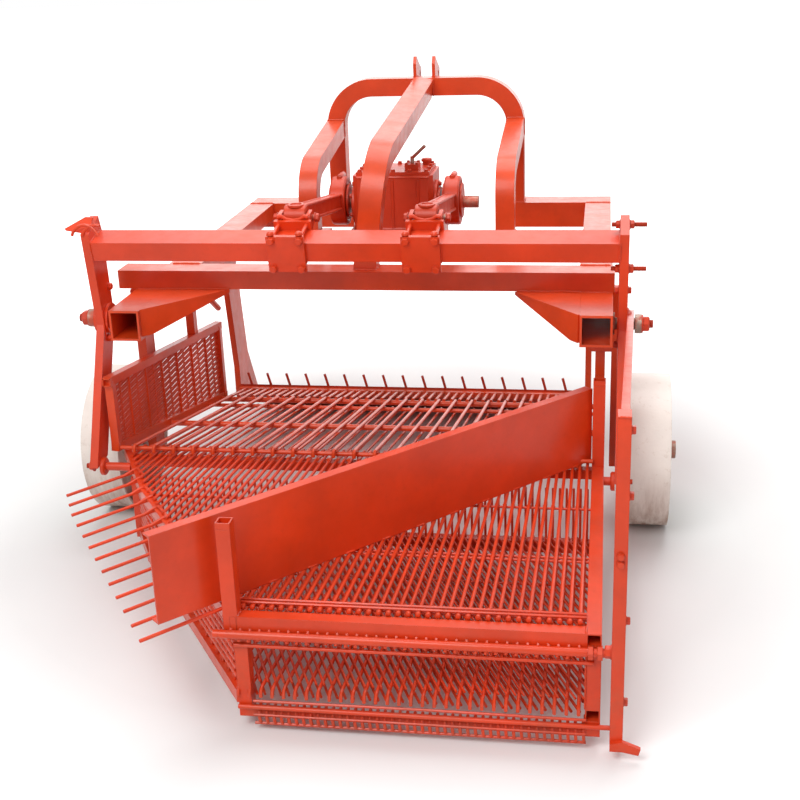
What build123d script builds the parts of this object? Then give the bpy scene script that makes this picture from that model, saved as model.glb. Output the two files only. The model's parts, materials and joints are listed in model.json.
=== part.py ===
from build123d import *
import math
import os

os.makedirs("parts", exist_ok=True)

# Row frame, millimetres: X to the right as seen from behind, Y forward, Z up, ground at Z 0.
# X 0 is the hitch centre, Y 0 is the rear face of the rear cross beam.

frame_top = 710.0
beam_h = 50.0
member_w = 80.0
frame_front_y = 1000.0
front_member_d = 100.0
side_left_x = (-595.0, -515.0)
side_right_x = (515.0, 595.0)
rear_beam_x = (-725.0, 605.0)

tail_wall = 5.0
tail_z = (580.0, 660.0)
tail_left_x = (-675.0, -595.0)
tail_right_x = (521.0, 601.0)
tail_y = (-215.0, 430.0)

pivot_y = -105.0
pivot_z = 608.0
pivot_r = 15.0
lever_t = 22.0
lever_left_x = -741.0
lever_right_x = 614.0

rocker_y = -136.0
rocker_z = 812.0
rocker_tilt = 12.0
rocker_w = 80.0
rocker_h = 50.0

shaft_y = 520.0
shaft_z = 790.0
shaft_r = 17.5
throw = 5.0
eccentric_r = 40.0
rod_x = (-205.0, 133.0)
ring_r = 72.0
ring_w = 38.0
eye_y = -52.0
eye_z = 866.0
eye_r = 28.0
eye_bore = 19.5
eye_w = 54.0
pin_r = 8.0

wheel_r = 205.0
wheel_w = 106.0
wheel_y = 60.0
wheel_x = (-778.0, 704.0)
axle_r = 15.0

deck_z = 262.0
deck_rear_y = -1032.0
rail = 30.0
right_rail_x = (557.0, 587.0)
bar_r = 4.0


def box(x0, x1, y0, y1, z0, z1, mode=Mode.ADD):
    with Locations(((x0 + x1) / 2, (y0 + y1) / 2, (z0 + z1) / 2)):
        Box(x1 - x0, y1 - y0, z1 - z0, mode=mode)


def tube_y(x0, x1, z0, z1, y0, y1, wall):
    box(x0, x1, y0, y1, z0, z1)
    box(x0 + wall, x1 - wall, y0 - 1, y1 + 1, z0 + wall, z1 - wall, mode=Mode.SUBTRACT)


def plate_x(points, x0, thick, mode=Mode.ADD):
    with BuildSketch(Plane.YZ.offset(x0)) as outline:
        with BuildLine():
            Polyline(*points, close=True)
        make_face()
    extrude(outline.sketch, amount=thick, mode=mode)


def plate_z(points, z0, thick, mode=Mode.ADD):
    with BuildSketch(Plane.XY.offset(z0)) as outline:
        with BuildLine():
            Polyline(*points, close=True)
        make_face()
    extrude(outline.sketch, amount=thick, mode=mode)


def plate_y(points, y0, thick, mode=Mode.ADD):
    with BuildSketch(Plane.XZ.offset(-y0)) as outline:
        with BuildLine():
            Polyline(*points, close=True)
        make_face()
    extrude(outline.sketch, amount=thick, mode=mode)


def rod(p, q, r, mode=Mode.ADD):
    a = Vector(*p)
    b = Vector(*q)
    d = b - a
    with Locations(Plane(origin=a, z_dir=d)):
        Cylinder(r, d.length, align=(Align.CENTER, Align.CENTER, Align.MIN), mode=mode)


def rods(ends, r):
    pieces = []
    for p, q in ends:
        d = Vector(*q) - Vector(*p)
        pieces.append(Solid.make_cylinder(r, d.length, Plane(origin=p, z_dir=d)))
    add(pieces)


def beam(p, q, w, h, up=(0, 0, 1), wall=0.0):
    a = Vector(*p)
    b = Vector(*q)
    d = b - a
    side = Vector(*up).cross(d)
    place = Plane(origin=a, x_dir=side, z_dir=d)
    with Locations(place):
        Box(w, h, d.length, align=(Align.CENTER, Align.CENTER, Align.MIN))
    if wall > 0:
        with Locations(place.offset(-1)):
            Box(
                w - 2 * wall,
                h - 2 * wall,
                d.length + 2,
                align=(Align.CENTER, Align.CENTER, Align.MIN),
                mode=Mode.SUBTRACT,
            )


# the part's own origin: on the ground, midway between the axle ends and midway along the machine
axle_left = (-852.0, -700.0)
axle_right = (626.0, 778.0)
hitch_tip_y = 1070.0
deflector_tip_y = -1092.0
home = Location((-(axle_left[0] + axle_right[1]) / 2, -(hitch_tip_y + deflector_tip_y) / 2, 0))


def keep(builder, name):
    piece = builder.part.moved(home)
    piece.label = name
    export_step(piece, "parts/" + name + ".step")


# main frame: its front member is open in the middle, where the drive passes, and a cradle carries the gearbox
front_member_h = 80.0
front_gap_x = (-245.0, 263.0)
cross_y = (440.0, 500.0)
cradle_x = (-165.0, 95.0)
cradle_y = (640.0, 700.0)
cradle_w = 60.0
beam_bottom = frame_top - beam_h
side_y = (member_w, frame_front_y - front_member_d)
with BuildPart() as main_frame:
    box(rear_beam_x[0], rear_beam_x[1], 0, member_w, beam_bottom, frame_top)
    for x0, x1 in (side_left_x, side_right_x):
        box(x0, x1, side_y[0], side_y[1], beam_bottom, frame_top)
    for x0, x1 in ((side_left_x[0], front_gap_x[0]), (front_gap_x[1], side_right_x[1])):
        box(x0, x1, side_y[1], frame_front_y, frame_top - front_member_h, frame_top)
    box(side_left_x[1], side_right_x[0], cross_y[0], cross_y[1], beam_bottom, frame_top)
    box(cradle_x[0], cradle_x[1], cradle_y[0], cradle_y[1], beam_bottom, frame_top)
    for x0 in (cradle_x[0], cradle_x[1] - cradle_w):
        box(x0, x0 + cradle_w, cross_y[1], cradle_y[0], beam_bottom, frame_top)
keep(main_frame, "main_frame")

with BuildPart() as tail_tube_left:
    tube_y(tail_left_x[0], tail_left_x[1], tail_z[0], tail_z[1], tail_y[0], tail_y[1], tail_wall)
keep(tail_tube_left, "tail_tube_left")

with BuildPart() as tail_tube_right:
    tube_y(tail_right_x[0], tail_right_x[1], tail_z[0], tail_z[1], tail_y[0], tail_y[1], tail_wall)
keep(tail_tube_right, "tail_tube_right")

# folded gussets: a flat under the rear beam with a flange hanging from its slanting edge
gusset_t = 8.0
gusset_top = frame_top - beam_h
gusset_rear_y = tail_y[0] + 10
gusset_sides = [(tail_left_x[1], 180), (tail_right_x[0], -166)]
with BuildPart() as gussets:
    for x0, reach in gusset_sides:
        tip = x0 + reach
        plate_z([(x0, -1), (tip, -1), (x0, gusset_rear_y)], gusset_top - gusset_t, gusset_t)
        edge = Plane(origin=(x0, gusset_rear_y, gusset_top), x_dir=(reach, -1 - gusset_rear_y, 0), z_dir=(0, 0, 1))
        run = math.hypot(reach, -1 - gusset_rear_y)
        with BuildSketch(Plane(origin=edge.origin, x_dir=edge.x_dir, z_dir=edge.y_dir)) as flange:
            with BuildLine():
                Polyline((0, 0), (run, 0), (run, 8), (30, 72), (0, 72), close=True)
            make_face()
        extrude(flange.sketch, amount=6)
        extrude(flange.sketch, amount=-0.5)
    for x0, x1 in (tail_left_x, tail_right_x):
        box(x0, x1, tail_y[0], tail_y[1], tail_z[0], tail_z[1], mode=Mode.SUBTRACT)
keep(gussets, "gussets")


def bent_bar(outer, inner, bend, wall):
    """The outline of a bent tube: two lines of corners, rounded about the same centres, and joined at the ends."""
    with BuildLine() as loop:
        far = FilletPolyline(*outer, radius=bend)
        near = FilletPolyline(*inner, radius=bend - wall)
        Line(far @ 0, near @ 0)
        Line(far @ 1, near @ 1)
    make_face(loop.edges())


# hitch
arch_x = 318.0
arch_top = 1108.0
arch_w = 55.0
arch_bend = 150.0
arch_y = (905.0, 965.0)
with BuildPart() as hitch_arch:
    with BuildSketch(Plane.XZ.offset(-arch_y[1])) as arch_face:
        outer = [(-arch_x, frame_top), (-arch_x, arch_top), (arch_x, arch_top), (arch_x, frame_top)]
        leg_x = arch_x - arch_w
        head_z = arch_top - arch_w
        inner = [(-leg_x, frame_top), (-leg_x, head_z), (leg_x, head_z), (leg_x, frame_top)]
        bent_bar(outer, inner, arch_bend, arch_w)
    extrude(arch_face.sketch, amount=arch_y[1] - arch_y[0])
keep(hitch_arch, "hitch_arch")

ear_gap = 50.0
ear_t = 10.0
ear_hole_y = 1010.0
ear_hole_z = 1112.0
ear_hole_r = 10.0
ear_outline = [(925, 1108), (965, 1070), (1030, 1075), (1040, 1128), (985, 1150), (940, 1172), (922, 1150)]
with BuildPart() as top_link_ears:
    for x0 in (-ear_gap / 2 - ear_t, ear_gap / 2):
        plate_x(ear_outline, x0, ear_t)
    box(-60, 60, arch_y[0], arch_y[1], arch_top - arch_w, arch_top, mode=Mode.SUBTRACT)
    rod((-60, ear_hole_y, ear_hole_z), (60, ear_hole_y, ear_hole_z), ear_hole_r, mode=Mode.SUBTRACT)
keep(top_link_ears, "top_link_ears")

# lower link pins: each is held by two cheeks on the front member and stands out to the side, its end free
link_z = 652.0
link_y = 1040.0
link_r = 11.0
link_len = 66.0
link_end_r = 9.0
link_end_len = 16.0
linch_r = 3.5
link_head_r = 16.0
link_head_t = 10.0
cheek_t = 12.0
cheek_x = (266.0, 310.0)
cheek_face = cheek_x[1] + cheek_t
front_face = frame_front_y
cheek_outline = [
    (front_face, 705),
    (front_face, 630),
    (link_y, 615),
    (link_y + 30, 640),
    (link_y + 25, 680),
    (link_y - 10, 705),
]
with BuildPart() as lower_hitch:
    for side in (-1, 1):
        for x in cheek_x:
            plate_x(cheek_outline, min(side * x, side * (x + cheek_t)), cheek_t)
        ends = [(side * (cheek_x[0] - 1), link_y, link_z), (side * (cheek_face + 1), link_y, link_z)]
        rod(*ends, link_end_r, mode=Mode.SUBTRACT)
keep(lower_hitch, "lower_hitch")
with BuildPart() as lower_link_pins:
    for side in (-1, 1):
        tip = cheek_face + link_len + link_end_len
        linch_x = side * (tip - link_end_len / 2)
        head_x = cheek_x[0] - link_head_t
        rod((side * head_x, link_y, link_z), (side * cheek_x[0], link_y, link_z), link_head_r)
        rod((side * head_x, link_y, link_z), (side * tip, link_y, link_z), link_end_r)
        rod((side * cheek_face, link_y, link_z), (side * (cheek_face + link_len), link_y, link_z), link_r)
        rod((linch_x, link_y, link_z - 20), (linch_x, link_y, link_z + 20), linch_r, mode=Mode.SUBTRACT)
keep(lower_link_pins, "lower_link_pins")

# the middle brace leans a little to the left on its way down
strut_w = 60.0
strut_bend = 150.0
strut_plane = Plane(origin=(-48, 0, frame_top), x_dir=(0, 1, 0), z_dir=(0.992, 0, -0.126))
strut_outer = [(arch_y[0], 402), (20, 308), (20, 0)]
strut_inner = [(arch_y[0], 342), (80, 253), (80, 0)]
with BuildPart() as centre_strut:
    with BuildSketch(strut_plane.offset(-strut_w / 2)) as strut_outline:
        bent_bar(strut_outer, strut_inner, strut_bend, strut_w)
    extrude(amount=strut_w)
    box(-arch_x, arch_x, 0, member_w + 40, beam_bottom, frame_top, mode=Mode.SUBTRACT)
keep(centre_strut, "centre_strut")

side_bend = 120.0
side_strut_outer = [(arch_y[0], 980), (445, 910), (445, frame_top)]
side_strut_inner = [(arch_y[0], 926), (498, 866), (498, frame_top)]
with BuildPart() as side_struts:
    for x0 in (-arch_x, arch_x - arch_w):
        with BuildSketch(Plane.YZ.offset(x0)) as side_outline:
            bent_bar(side_strut_outer, side_strut_inner, side_bend, arch_w)
        extrude(side_outline.sketch, amount=arch_w)
keep(side_struts, "side_struts")

# gearbox and drive
box_x = (-153.0, 83.0)
box_y = (436.0, 612.0)
box_z = (722.0, 882.0)
mid_x = (box_x[0] + box_x[1]) / 2
running = 0.05
with BuildPart() as gearbox_mount:
    box(cradle_x[0], cradle_x[1], cross_y[0], cradle_y[1], frame_top, box_z[0])
keep(gearbox_mount, "gearbox_mount")

with BuildPart() as gearbox:
    box(box_x[0], box_x[1], box_y[0], box_y[1], box_z[0], box_z[1])
    edges_up = gearbox.edges().filter_by(Axis.Z)
    chamfer(edges_up, 14)
    rod((box_x[0] - 14, shaft_y, shaft_z), (box_x[0], shaft_y, shaft_z), 44)
    rod((box_x[1], shaft_y, shaft_z), (box_x[1] + 14, shaft_y, shaft_z), 44)
    rod((mid_x, box_y[1], shaft_z), (mid_x, box_y[1] + 14, shaft_z), 46)
    rod((box_x[0] - 20, shaft_y, shaft_z), (box_x[1] + 20, shaft_y, shaft_z), shaft_r + running, mode=Mode.SUBTRACT)
    rod((mid_x, 560, shaft_z), (mid_x, 640, shaft_z), shaft_r + running, mode=Mode.SUBTRACT)
keep(gearbox, "gearbox")

lid_top = box_z[1] + 10
lid_inset = 10.0
shift_x = (-2.0, 38.0)
shift_y = (470.0, 520.0)
shift_top = lid_top + 18
with BuildPart() as gearbox_lid:
    box(box_x[0] + lid_inset, box_x[1] - lid_inset, box_y[0] + lid_inset, box_y[1] - lid_inset, box_z[1], lid_top)
    box(shift_x[0], shift_x[1], shift_y[0], shift_y[1], lid_top, shift_top)
keep(gearbox_lid, "gearbox_lid")

with BuildPart() as shift_lever:
    rod((18, 492, shift_top), (18, 492, shift_top + 20), 6)
    rod((18, 492, shift_top + 15), (58, 480, shift_top + 52), 5)
keep(shift_lever, "shift_lever")

with BuildPart() as cross_shaft:
    rod((-245, shaft_y, shaft_z), (208, shaft_y, shaft_z), shaft_r)
    box(176, 212, shaft_y - 5, shaft_y + 5, shaft_z + 12, shaft_z + 30, mode=Mode.SUBTRACT)
keep(cross_shaft, "cross_shaft")


def eccentric(x0):
    cz = shaft_z + throw
    half = ring_w / 2 + 4
    rod((x0 - half, shaft_y, cz), (x0 + half, shaft_y, cz), eccentric_r)
    rod((x0 - half - 6, shaft_y, cz), (x0 - half, shaft_y, cz), 50)
    rod((x0 + half, shaft_y, cz), (x0 + half + 6, shaft_y, cz), 50)
    rod((x0 - 60, shaft_y, shaft_z), (x0 + 60, shaft_y, shaft_z), shaft_r, mode=Mode.SUBTRACT)


with BuildPart() as eccentrics:
    for x0 in rod_x:
        eccentric(x0)
keep(eccentrics, "eccentrics")

with BuildPart() as input_shaft:
    rod((mid_x, 562, shaft_z), (mid_x, 735, shaft_z), shaft_r)
    rod((mid_x, 632, shaft_z), (mid_x, 642, shaft_z), 26)
keep(input_shaft, "input_shaft")


def con_rod(x0):
    cz = shaft_z + throw
    bore_z = eye_z + throw
    half = ring_w / 2
    rod((x0 - half, shaft_y, cz), (x0 + half, shaft_y, cz), ring_r)
    beam((x0, shaft_y, cz), (x0, eye_y, bore_z), 24, 46)
    rod((x0 - eye_w / 2, eye_y, bore_z), (x0 + eye_w / 2, eye_y, bore_z), eye_r)
    rod((x0 - 40, shaft_y, cz), (x0 + 40, shaft_y, cz), eccentric_r + running, mode=Mode.SUBTRACT)
    rod((x0 - 40, eye_y, bore_z), (x0 + 40, eye_y, bore_z), eye_bore, mode=Mode.SUBTRACT)


with BuildPart() as con_rod_left:
    con_rod(rod_x[0])
keep(con_rod_left, "con_rod_left")
with BuildPart() as con_rod_right:
    con_rod(rod_x[1])
keep(con_rod_right, "con_rod_right")

# wheels and their legs
leg_y = (25.0, 92.0)
leg_z = (165.0, 655.0)
leg_left_x = (-700.0, -675.0)
leg_right_x = (601.0, 626.0)
with BuildPart() as wheel_legs:
    for x0, x1 in (leg_left_x, leg_right_x):
        box(x0, x1, leg_y[0], leg_y[1], leg_z[0], leg_z[1])
keep(wheel_legs, "wheel_legs")

with BuildPart() as axle_stubs:
    for inner, outer in ((axle_left[1], axle_left[0]), (axle_right[0], axle_right[1])):
        rod((inner, wheel_y, wheel_r), (outer, wheel_y, wheel_r), axle_r)
        cap = outer - math.copysign(10, outer)
        rod((cap, wheel_y, wheel_r), (outer, wheel_y, wheel_r), 24)
keep(axle_stubs, "axle_stubs")


def wheel(x0):
    half = wheel_w / 2
    rod((x0 - half, wheel_y, wheel_r), (x0 + half, wheel_y, wheel_r), wheel_r)
    rod((x0 - half - 1, wheel_y, wheel_r), (x0 - 5, wheel_y, wheel_r), wheel_r - 7, mode=Mode.SUBTRACT)
    rod((x0 + 5, wheel_y, wheel_r), (x0 + half + 1, wheel_y, wheel_r), wheel_r - 7, mode=Mode.SUBTRACT)
    rod((x0 - half - 6, wheel_y, wheel_r), (x0 + half + 6, wheel_y, wheel_r), 34)
    rod((x0 - 90, wheel_y, wheel_r), (x0 + 90, wheel_y, wheel_r), axle_r + running, mode=Mode.SUBTRACT)


with BuildPart() as wheel_left:
    wheel(wheel_x[0])
keep(wheel_left, "wheel_left")
with BuildPart() as wheel_right:
    wheel(wheel_x[1])
keep(wheel_right, "wheel_right")

# pivot pins of the swinging levers
with BuildPart() as pivot_pins:
    for face, collar, washer, end in ((-675, -705, -756, -772), (601, 606, 656, 672)):
        rod((face, pivot_y, pivot_z), (end, pivot_y, pivot_z), pivot_r)
        rod((face, pivot_y, pivot_z), (collar, pivot_y, pivot_z), 28)
        rod((washer, pivot_y, pivot_z), (end, pivot_y, pivot_z), 24)
keep(pivot_pins, "pivot_pins")

# blade, its legs, and the fixed front grate
blade_x = (-575.0, 527.0)
blade_t = 12.0
blade_run = math.hypot(345, 188)
blade_drop = blade_t * blade_run / 345
blade_end_y = 905 - (blade_drop - 2) * 345 / 188
blade_outline = [(560, 190), (905, 2), (905, 0), (blade_end_y, 0), (560, 190 - blade_drop)]


def blade_under(y):
    return 190 - blade_drop - (y - 560) * 188 / 345


with BuildPart() as blade:
    plate_x(blade_outline, blade_x[0], blade_x[1] - blade_x[0])
keep(blade, "blade")
with BuildPart() as blade_carrier:
    carrier_outline = [(560, blade_under(560)), (560, 150), (600, 150), (600, blade_under(600))]
    plate_x(carrier_outline, blade_x[0], blade_x[1] - blade_x[0])
keep(blade_carrier, "blade_carrier")
tooth_count = 17
with BuildPart() as blade_teeth:
    rods([((-538 + i * 63.0, 568, 180), (-550 + i * 63.0, 568, 226)) for i in range(tooth_count)], 4)
    add(blade.part, mode=Mode.SUBTRACT)
    add(blade_carrier.part, mode=Mode.SUBTRACT)
keep(blade_teeth, "blade_teeth")

blade_leg = [
    (470, 660),
    (600, 660),
    (640, 430),
    (668, 270),
    (760, 110),
    (740, 70),
    (640, 110),
    (560, 150),
    (560, 250),
    (515, 500),
]
with BuildPart() as blade_legs:
    plate_x(blade_leg, -593, 18)
    plate_x(blade_leg, 527, 18)
keep(blade_legs, "blade_legs")

grate_front_y = 560.0
grate_mid_y = 380.0
grate_rear_y = -232.0


def grate_z(y):
    return 190.0 + (grate_front_y - y) * 106.0 / (grate_front_y - grate_rear_y)


def fan(x):
    return math.radians(8.5) * (560.0 - x) / 1250.0


def wall_x(y):
    return -693.0 + (y + 200.0) * 103.0 / 624.0


front_rod_r = 5.0
with BuildPart() as front_grate:
    box(blade_x[0], blade_x[1], grate_front_y - 22, grate_front_y, 166, 184)
    for y in (grate_mid_y, 60.0):
        rod((wall_x(y) + 12.7, y, grate_z(y) - 10), (560, y, grate_z(y) - 10), 8)
    front_rods = []
    for i in range(46):
        x = -556 + i * 23.7
        front_rods.append(((x, grate_front_y - 8, 176), (x, grate_mid_y + 1, grate_z(grate_mid_y))))
    for i in range(22):
        x = -556 + i * 50.0
        reach = grate_mid_y - grate_rear_y
        start = (x, grate_mid_y - 1, grate_z(grate_mid_y))
        front_rods.append((start, (x - reach * math.tan(fan(x)), grate_rear_y, grate_z(grate_rear_y))))
    rods(front_rods, front_rod_r)
keep(front_grate, "front_grate")


# side walls: rails and uprights of small square tube, with thin bars between
def side_wall(rear_x, rear_y, front_x, front_y, size):
    def at(y, z_rear, z_front):
        t = (y - rear_y) / (front_y - rear_y)
        return (rear_x + t * (front_x - rear_x), y, z_rear + t * (z_front - z_rear))

    for top in ((470, 431), (284, 206)):
        beam(at(rear_y - size / 2, *top), at(front_y + size / 2, *top), size, size)
    beam((rear_x, rear_y, 276), (rear_x, rear_y, 470), size, size, up=(0, 1, 0))
    beam((front_x, front_y, 200), (front_x, front_y, 431), size, size, up=(0, 1, 0))
    uprights = []
    for i in range(1, 7):
        y = rear_y + i * (front_y - rear_y) / 7
        uprights.append((at(y, 284, 206), at(y, 470, 431)))
    rods(uprights, 5)
    bars = []
    for i in range(23):
        low = 112 + i * 15.5
        start = max(0.0, (284 - low) / (106 + 78))
        stop = min(1.0, (470 - low) / (106 + 39))
        if stop - start > 0.05:
            ends = []
            for t in (start, stop):
                ends.append((rear_x + t * (front_x - rear_x), rear_y + t * (front_y - rear_y), low + t * 106))
            bars.append(ends)
    rods(bars, 3)


with BuildPart() as side_wall_left:
    side_wall(wall_x(-212), -212, wall_x(414), 414, 22)
keep(side_wall_left, "side_wall_left")
with BuildPart() as side_wall_right:
    side_wall(572, -128, 572, 414, 24)
keep(side_wall_right, "side_wall_right")

with BuildPart() as wall_hangers:
    box(-634, -610, 255, 285, 450, tail_z[0])
    box(560, 584, -140, -116, 482, tail_z[0])
    box(560, 584, 255, 285, 450, tail_z[0])
    add(side_wall_left.part, mode=Mode.SUBTRACT)
    add(side_wall_right.part, mode=Mode.SUBTRACT)
keep(wall_hangers, "wall_hangers")

# swinging body: rocker beam, levers, decks, deflector
tilt = math.radians(rocker_tilt)
rocker_up = (0, -math.sin(tilt), math.cos(tilt))
with BuildPart() as rocker_beam:
    start = (lever_left_x + lever_t, rocker_y, rocker_z)
    beam(start, (lever_right_x, rocker_y, rocker_z), rocker_w, rocker_h, up=rocker_up)
keep(rocker_beam, "rocker_beam")

# each clamp is two plates bolted round the rocker beam, in the beam's tilted frame
clamp_w = 96.0
clamp_t = 12.0
clamp_half_h = 48.0
clamp_bolt_r = 5.0
clamp_bolt_x = 36.0
clamp_bolt_w = 38.0
lug_t = 10.0
lug_gap = eye_w + 10.0


def tilted(u, w):
    return (rocker_y + u * math.cos(tilt) - w * math.sin(tilt), rocker_z + u * math.sin(tilt) + w * math.cos(tilt))


near = rocker_w / 2
far = near + clamp_t
rear_plate = [tilted(-far, -clamp_half_h), tilted(-near, -clamp_half_h), tilted(-near, clamp_half_h), tilted(-far, clamp_half_h)]
front_plate = [tilted(far, -clamp_half_h), tilted(near, -clamp_half_h), tilted(near, clamp_half_h), tilted(far, clamp_half_h)]
lug_outline = [tilted(far, -12), tilted(102, 16), tilted(112, 36), tilted(100, 54), tilted(70, 56), tilted(far, 46)]
with BuildPart() as clamps:
    for x0 in rod_x:
        plate_x(rear_plate, x0 - clamp_w / 2, clamp_w)
        plate_x(front_plate, x0 - clamp_w / 2, clamp_w)
        for lug in (x0 - lug_gap / 2 - lug_t, x0 + lug_gap / 2):
            plate_x(lug_outline, lug, lug_t)
        for dx in (-clamp_bolt_x, clamp_bolt_x):
            for w in (-clamp_bolt_w, clamp_bolt_w):
                rod((x0 + dx, *tilted(-far - 8, w)), (x0 + dx, *tilted(far + 8, w)), clamp_bolt_r)
        rod((x0 - clamp_w, eye_y, eye_z), (x0 + clamp_w, eye_y, eye_z), pin_r, mode=Mode.SUBTRACT)
keep(clamps, "clamps")

with BuildPart() as clamp_pins:
    for x0 in rod_x:
        rod((x0 - clamp_w / 2, eye_y, eye_z), (x0 + clamp_w / 2, eye_y, eye_z), pin_r)
keep(clamp_pins, "clamp_pins")

lever_outline = [(-180, 850), (-103, 882), (-88, 840), (-70, 606), (-225, 262), (-300, 255), (-145, 600)]
lower_pin_y = -265.0
lower_pin_z = 248.0
with BuildPart() as levers:
    for x0 in (lever_left_x, lever_right_x):
        plate_x(lever_outline, x0, lever_t)
    rod((lever_left_x - 8, pivot_y, pivot_z), (lever_left_x + lever_t + 8, pivot_y, pivot_z), 40)
    rod((lever_right_x, pivot_y, pivot_z), (lever_right_x + lever_t + 4, pivot_y, pivot_z), 40)
    for x0 in (lever_left_x, lever_right_x):
        rod((x0 - 60, pivot_y, pivot_z), (x0 + 60, pivot_y, pivot_z), pivot_r + running, mode=Mode.SUBTRACT)
keep(levers, "levers")

bar_x = (606.0, 631.0)
bar_y = (-1060.0, -1020.0)
bar_z = (24.0, 722.0)
with BuildPart() as rear_bar:
    box(bar_x[0], bar_x[1], bar_y[0], bar_y[1], bar_z[0], bar_z[1])
keep(rear_bar, "rear_bar")
with BuildPart() as rear_arm:
    beam((646, -64, 606), (620, bar_y[1], 695), 16, 50)
    rod((600, pivot_y, pivot_z), (700, pivot_y, pivot_z), pivot_r + running, mode=Mode.SUBTRACT)
    add(levers.part, mode=Mode.SUBTRACT)
    add(rear_bar.part, mode=Mode.SUBTRACT)
keep(rear_arm, "rear_arm")
with BuildPart() as bar_foot:
    plate_y([(bar_x[0], 24), (bar_x[1], 24), (662, 18), (666, 32), (bar_x[1], 46), (bar_x[0], 40)], bar_y[0], 10)
keep(bar_foot, "bar_foot")

# upper sieve frame
rail_bottom = deck_z - rail
side_path = [(-690.0, -155.0), (-545.0, -430.0), (-150.0, -1020.0)]
with BuildPart() as upper_frame:
    tube_y(right_rail_x[0], right_rail_x[1], rail_bottom, deck_z, deck_rear_y, -180, 3)
    box(-140, right_rail_x[0], deck_rear_y, deck_rear_y + rail, rail_bottom, deck_z)
    beam((-690, -155, 247), (-545, -430, 247), 20, rail)
    beam((-547.8, -425.8, 247), (-142, deck_rear_y, 247), 20, rail)
    box(-300, 0, deck_rear_y - 50, deck_rear_y, 0, 400, mode=Mode.SUBTRACT)
    box(-668, right_rail_x[0], -205, -180, 225, 250)
keep(upper_frame, "upper_frame")


def side_x(y):
    (x0, y0), (x1, y1), (x2, y2) = side_path
    if y > y1:
        return x0 + (y0 - y) * (x1 - x0) / (y0 - y1)
    return x1 + (y1 - y) * (x2 - x1) / (y1 - y2)


# the deflector is a folded channel: an upright face with a flange along its top and its bottom
deflector_tip = (-282.0, deflector_tip_y)
deflector_z = (deck_z + 9, deck_z + 203)
deflector_len = 1229.0
deflector_t = 4.0
deflector_flange = 25.0
deflector_along = (0.681, 0.732, 0)
deflector_out = (0.732, -0.681, 0)
with BuildPart() as deflector:
    foot = (*deflector_tip, deflector_z[0])
    with BuildSketch(Plane(origin=foot, x_dir=deflector_along, z_dir=deflector_out)) as face:
        Rectangle(deflector_len, deflector_z[1] - deflector_z[0], align=(Align.MIN, Align.MIN))
    extrude(face.sketch, amount=-deflector_t)
    for z in (deflector_z[0] + deflector_t, deflector_z[1]):
        with BuildSketch(Plane(origin=(*deflector_tip, z), x_dir=deflector_along, z_dir=(0, 0, 1))) as flange:
            Rectangle(deflector_len, deflector_flange, align=(Align.MIN, Align.MIN))
        extrude(flange.sketch, amount=-deflector_t)
    box(right_rail_x[0], 700, -300, 0, 200, 500, mode=Mode.SUBTRACT)
keep(deflector, "deflector")

with BuildPart() as deflector_posts:
    box(-168, -138, deck_rear_y, deck_rear_y + rail, rail_bottom, deflector_z[1] - 10)
    box(right_rail_x[0], right_rail_x[1], -210, -185, deck_z, deflector_z[1] + 12)
    add(upper_frame.part, mode=Mode.SUBTRACT)
    add(deflector.part, mode=Mode.SUBTRACT)
keep(deflector_posts, "deflector_posts")

seat = 0.1
grate_z0 = deck_z + bar_r + seat
cross_r = 3.0


def side_y_at(x):
    (x1, y1), (x2, y2) = side_path[1:]
    return y1 + (x - x1) * (y2 - y1) / (x2 - x1)


def fan_rods(y_front, y_rear, z, pitch, count):
    ends = []
    for i in range(count):
        x0 = right_rail_x[0] - 11 - i * pitch
        slope = math.tan(fan(x0))
        y1 = y_rear
        while y1 < y_front and x0 - (y_front - y1) * slope < side_x(y1):
            y1 = y1 + 2
        if y_front - y1 > 50:
            ends.append(((x0, y_front, z), (x0 - (y_front - y1) * slope, y1, z)))
    rods(ends, bar_r)


def side_edge(y):
    return side_x(y) + 14.1


with BuildPart() as upper_grate:
    fan_rods(-160.0, deck_rear_y + rail + 3, grate_z0, 18.2, 66)
    across = []
    for y in (-460.0, -712.0, -728.0, -975.0):
        across.append(((side_edge(y), y, deck_z - cross_r), (right_rail_x[0], y, deck_z - cross_r)))
    rods(across, cross_r)
    add(deflector_posts.part, mode=Mode.SUBTRACT)
keep(upper_grate, "upper_grate")

with BuildPart() as fingers:
    ends = []
    for i in range(13):
        y = -310.0 - i * 56.0
        ends.append(((side_x(y), y, 256), (side_x(y) - 152, y - 104, 228)))
    rods(ends, bar_r)
    add(upper_frame.part, mode=Mode.SUBTRACT)
keep(fingers, "fingers")

with BuildPart() as lower_pins:
    for p, q in ((lever_left_x + lever_t, -640), (lever_right_x, right_rail_x[1])):
        rod((p, lower_pin_y, lower_pin_z), (q, lower_pin_y, lower_pin_z), 11)
    add(upper_frame.part, mode=Mode.SUBTRACT)
keep(lower_pins, "lower_pins")

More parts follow.
